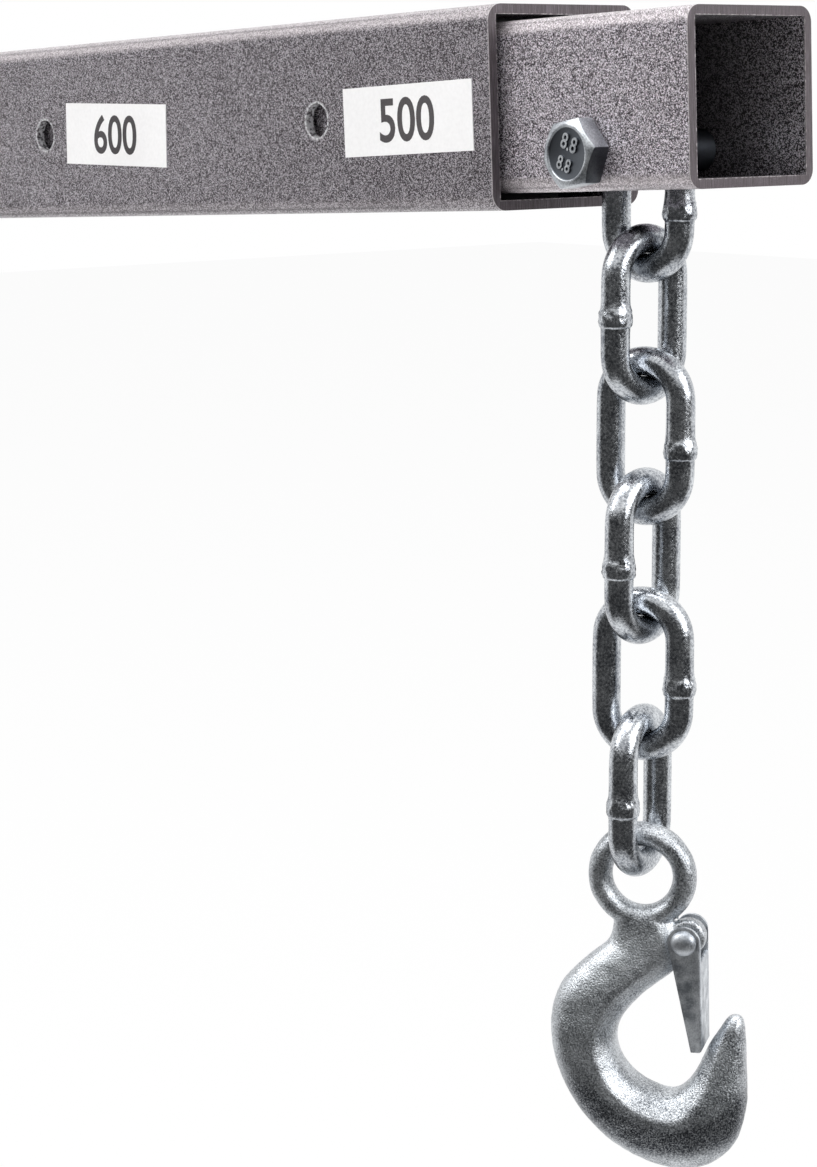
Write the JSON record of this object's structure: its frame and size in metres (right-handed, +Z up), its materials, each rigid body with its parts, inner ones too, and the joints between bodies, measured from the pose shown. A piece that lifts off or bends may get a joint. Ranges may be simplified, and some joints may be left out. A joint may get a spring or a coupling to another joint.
{
  "type": "pickup truck crane",
  "caption": "Swivelling truck-bed crane: bolted base, turning mast, hand-pumped ram, telescoping square boom, welded chain and a latched forged hook.",
  "frame": {"origin": "middle of the base plate's underside, on the mast's axis", "axes": "+Z up the mast, +X towards the boom's tip, +Y to the boom's left"},
  "size_m": [1.0496, 0.2141, 1.1081],
  "materials": {
    "frame_paint": "silver-vein hammertone powder coat",
    "zinc_fastener": "bright zinc plate",
    "zinc_chain": "bright zinc plate",
    "galvanised_forging": "grainy galvanised forging",
    "zinc_sheet": "zinc-plated sheet",
    "spring_steel": "spring wire",
    "jack_paint": "satin black enamel",
    "bright_steel": "ground and plated steel",
    "bronze": "plain turned bronze",
    "nylon": "natural nylon",
    "black_plastic": "moulded plastic",
    "rubber_grip": "ribbed rubber",
    "label_vinyl": "white vinyl sticker"
  },
  "bodies": {
    "base": {"base_plate": "frame_paint", "base_pedestal": "frame_paint", "base_gussets": "frame_paint", "swivel_post": "frame_paint", "thrust_washer": "bronze"},
    "mast": {"mast_foot": "frame_paint", "mast_tube": "frame_paint", "mast_bushings": "nylon", "mast_cap": "frame_paint", "mast_cheeks": "frame_paint", "pivot_bolt": "zinc_fastener", "pivot_nut": "zinc_fastener", "pivot_washers": "zinc_fastener", "lock_screw_boss": "frame_paint", "jack_bracket": "frame_paint", "jack_foot_pin": "zinc_fastener", "jack_foot_pin_keeper": "zinc_fastener"},
    "lock_screw": {"mast_lock_screw": "zinc_fastener"},
    "lock_bar": {"lock_screw_bar": "zinc_fastener"},
    "boom": {"boom_tube": "frame_paint", "boom_pivot_bush": "bronze", "boom_tail_plug": "black_plastic", "boom_jack_ears": "frame_paint", "extension_stop_bolt": "zinc_fastener", "extension_stop_nut": "zinc_fastener", "mouth_slide_pads": "nylon", "rating_labels": "label_vinyl", "jack_head_pin": "zinc_fastener", "jack_head_pin_keeper": "zinc_fastener"},
    "extension": {"extension_tube": "frame_paint", "tail_slide_pads": "nylon", "hook_bolt": "zinc_fastener", "hook_nut": "zinc_fastener"},
    "lock_pin": {"lock_pin": "zinc_fastener"},
    "pin_ring": {"lock_pin_ring": "zinc_fastener"},
    "jack": {"jack_base": "jack_paint", "jack_reservoir_tube": "jack_paint", "oil_filler_plug": "black_plastic", "jack_pressure_tube": "bright_steel", "jack_gland_nut": "bright_steel", "pump_cylinder": "jack_paint"},
    "ram": {"ram": "bright_steel", "ram_piston": "bright_steel", "ram_eye": "jack_paint"},
    "plunger": {"pump_plunger": "bright_steel"},
    "pump_handle": {"handle_socket": "jack_paint", "socket_pins": "zinc_fastener"},
    "lever": {"pump_lever": "bright_steel", "lever_grip": "rubber_grip"},
    "valve": {"release_valve": "bright_steel"},
    "link_1": {"chain_link_1": "zinc_chain"},
    "link_2": {"chain_link_2": "zinc_chain"},
    "link_3": {"chain_link_3": "zinc_chain"},
    "link_4": {"chain_link_4": "zinc_chain"},
    "link_5": {"chain_link_5": "zinc_chain"},
    "link_6": {"chain_link_6": "zinc_chain"},
    "hook": {"hook_body": "galvanised_forging", "latch_rivet": "zinc_sheet"},
    "latch": {"hook_latch": "zinc_sheet", "latch_spring": "spring_steel"}
  },
  "joints": [
    {"name": "mast_swivel", "type": "hinge", "parent": "base", "child": "mast", "pos_m": [0, 0, 0.075], "axis": [0, 0, 1], "continuous": true},
    {"name": "lock_screw_turn", "type": "hinge", "parent": "mast", "child": "lock_screw", "pos_m": [-0.05, 0, 0.16], "axis": [1, 0, 0], "continuous": true},
    {"name": "lock_bar_slide", "type": "slide", "parent": "lock_screw", "child": "lock_bar", "axis": [0, 1, 0], "range_m": [-0.025, 0.025]},
    {"name": "boom_lift", "type": "hinge", "parent": "mast", "child": "boom", "pos_m": [0, 0, 1.04], "axis": [0, -1, 0], "range_deg": [-5, 35]},
    {"name": "extension_slide", "type": "slide", "parent": "boom", "child": "extension", "axis": [0.999, 0, 0.0436], "range_m": [0, 0.465]},
    {"name": "lock_pin_push", "type": "slide", "parent": "boom", "child": "lock_pin", "axis": [0, 1, 0], "range_m": [0, 0.0667]},
    {"name": "pin_ring_swing", "type": "hinge", "parent": "lock_pin", "child": "pin_ring", "pos_m": [0.32689, -0.10808, 1.05417], "axis": [0.999, 0, 0.0436], "range_deg": [-80, 15]},
    {"name": "jack_lean", "type": "hinge", "parent": "mast", "child": "jack", "pos_m": [0.08, 0, 0.62], "axis": [0, -1, 0], "range_deg": [-1.3, 8.3]},
    {"name": "ram_stroke", "type": "slide", "parent": "jack", "child": "ram", "axis": [0.4163, 0, 0.9092], "range_m": [-0.0205, 0.14]},
    {"name": "pump_stroke", "type": "hinge", "parent": "jack", "child": "pump_handle", "pos_m": [0.16171, 0, 0.71677], "axis": [0, -1, 0], "range_deg": [0, 35]},
    {"name": "plunger_stroke", "type": "slide", "parent": "jack", "child": "plunger", "axis": [0.4163, 0, 0.9092], "range_m": [0, 0.0146]},
    {"name": "lever_pull", "type": "slide", "parent": "pump_handle", "child": "lever", "axis": [0.9956, 0, 0.094], "range_m": [0, 0.04]},
    {"name": "valve_turn", "type": "hinge", "parent": "jack", "child": "valve", "pos_m": [0.16284, 0.016, 0.61836], "axis": [0.9092, 0, -0.4163], "range_deg": [0, 180]},
    {"name": "link_1_swing", "type": "hinge", "parent": "extension", "child": "link_1", "pos_m": [0.90775, 0, 1.06552], "axis": [0, 1, 0], "range_deg": [-8, 34]},
    {"name": "link_2_swing", "type": "hinge", "parent": "link_1", "child": "link_2", "pos_m": [0.90775, 0, 1.03127], "axis": [-0.9994, 0.0349, 0], "range_deg": [-35, 35]},
    {"name": "link_3_swing", "type": "hinge", "parent": "link_2", "child": "link_3", "pos_m": [0.90775, 0, 0.99537], "axis": [-0.3256, 0.9455, 0], "range_deg": [-35, 35]},
    {"name": "link_4_swing", "type": "hinge", "parent": "link_3", "child": "link_4", "pos_m": [0.90775, 0, 0.95947], "axis": [-0.9925, -0.1219, 0], "range_deg": [-35, 35]},
    {"name": "link_5_swing", "type": "hinge", "parent": "link_4", "child": "link_5", "pos_m": [0.90775, 0, 0.92357], "axis": [-0.4695, 0.8829, 0], "range_deg": [-35, 35]},
    {"name": "link_6_swing", "type": "hinge", "parent": "link_5", "child": "link_6", "pos_m": [0.90775, 0, 0.88767], "axis": [-0.9511, -0.309, 0], "range_deg": [-35, 35]},
    {"name": "hook_swing", "type": "hinge", "parent": "link_6", "child": "hook", "pos_m": [0.90775, 0, 0.85177], "axis": [-0.5592, 0.829, 0], "range_deg": [-35, 35]},
    {"name": "latch_open", "type": "hinge", "parent": "hook", "child": "latch", "pos_m": [0.92035, 0.0085, 0.82977], "axis": [-0.5592, 0.829, 0], "range_deg": [0, 30], "stiffness_Nm_per_rad": 0.08, "springref_deg": -34.38}
  ],
  "couplings": [
    {"joint": "jack_lean", "follows": "boom_lift", "ratio": 0.2335},
    {"joint": "ram_stroke", "follows": "boom_lift", "m_per_rad": 0.22855},
    {"joint": "plunger_stroke", "follows": "pump_stroke", "m_per_rad": 0.023629}
  ]
}
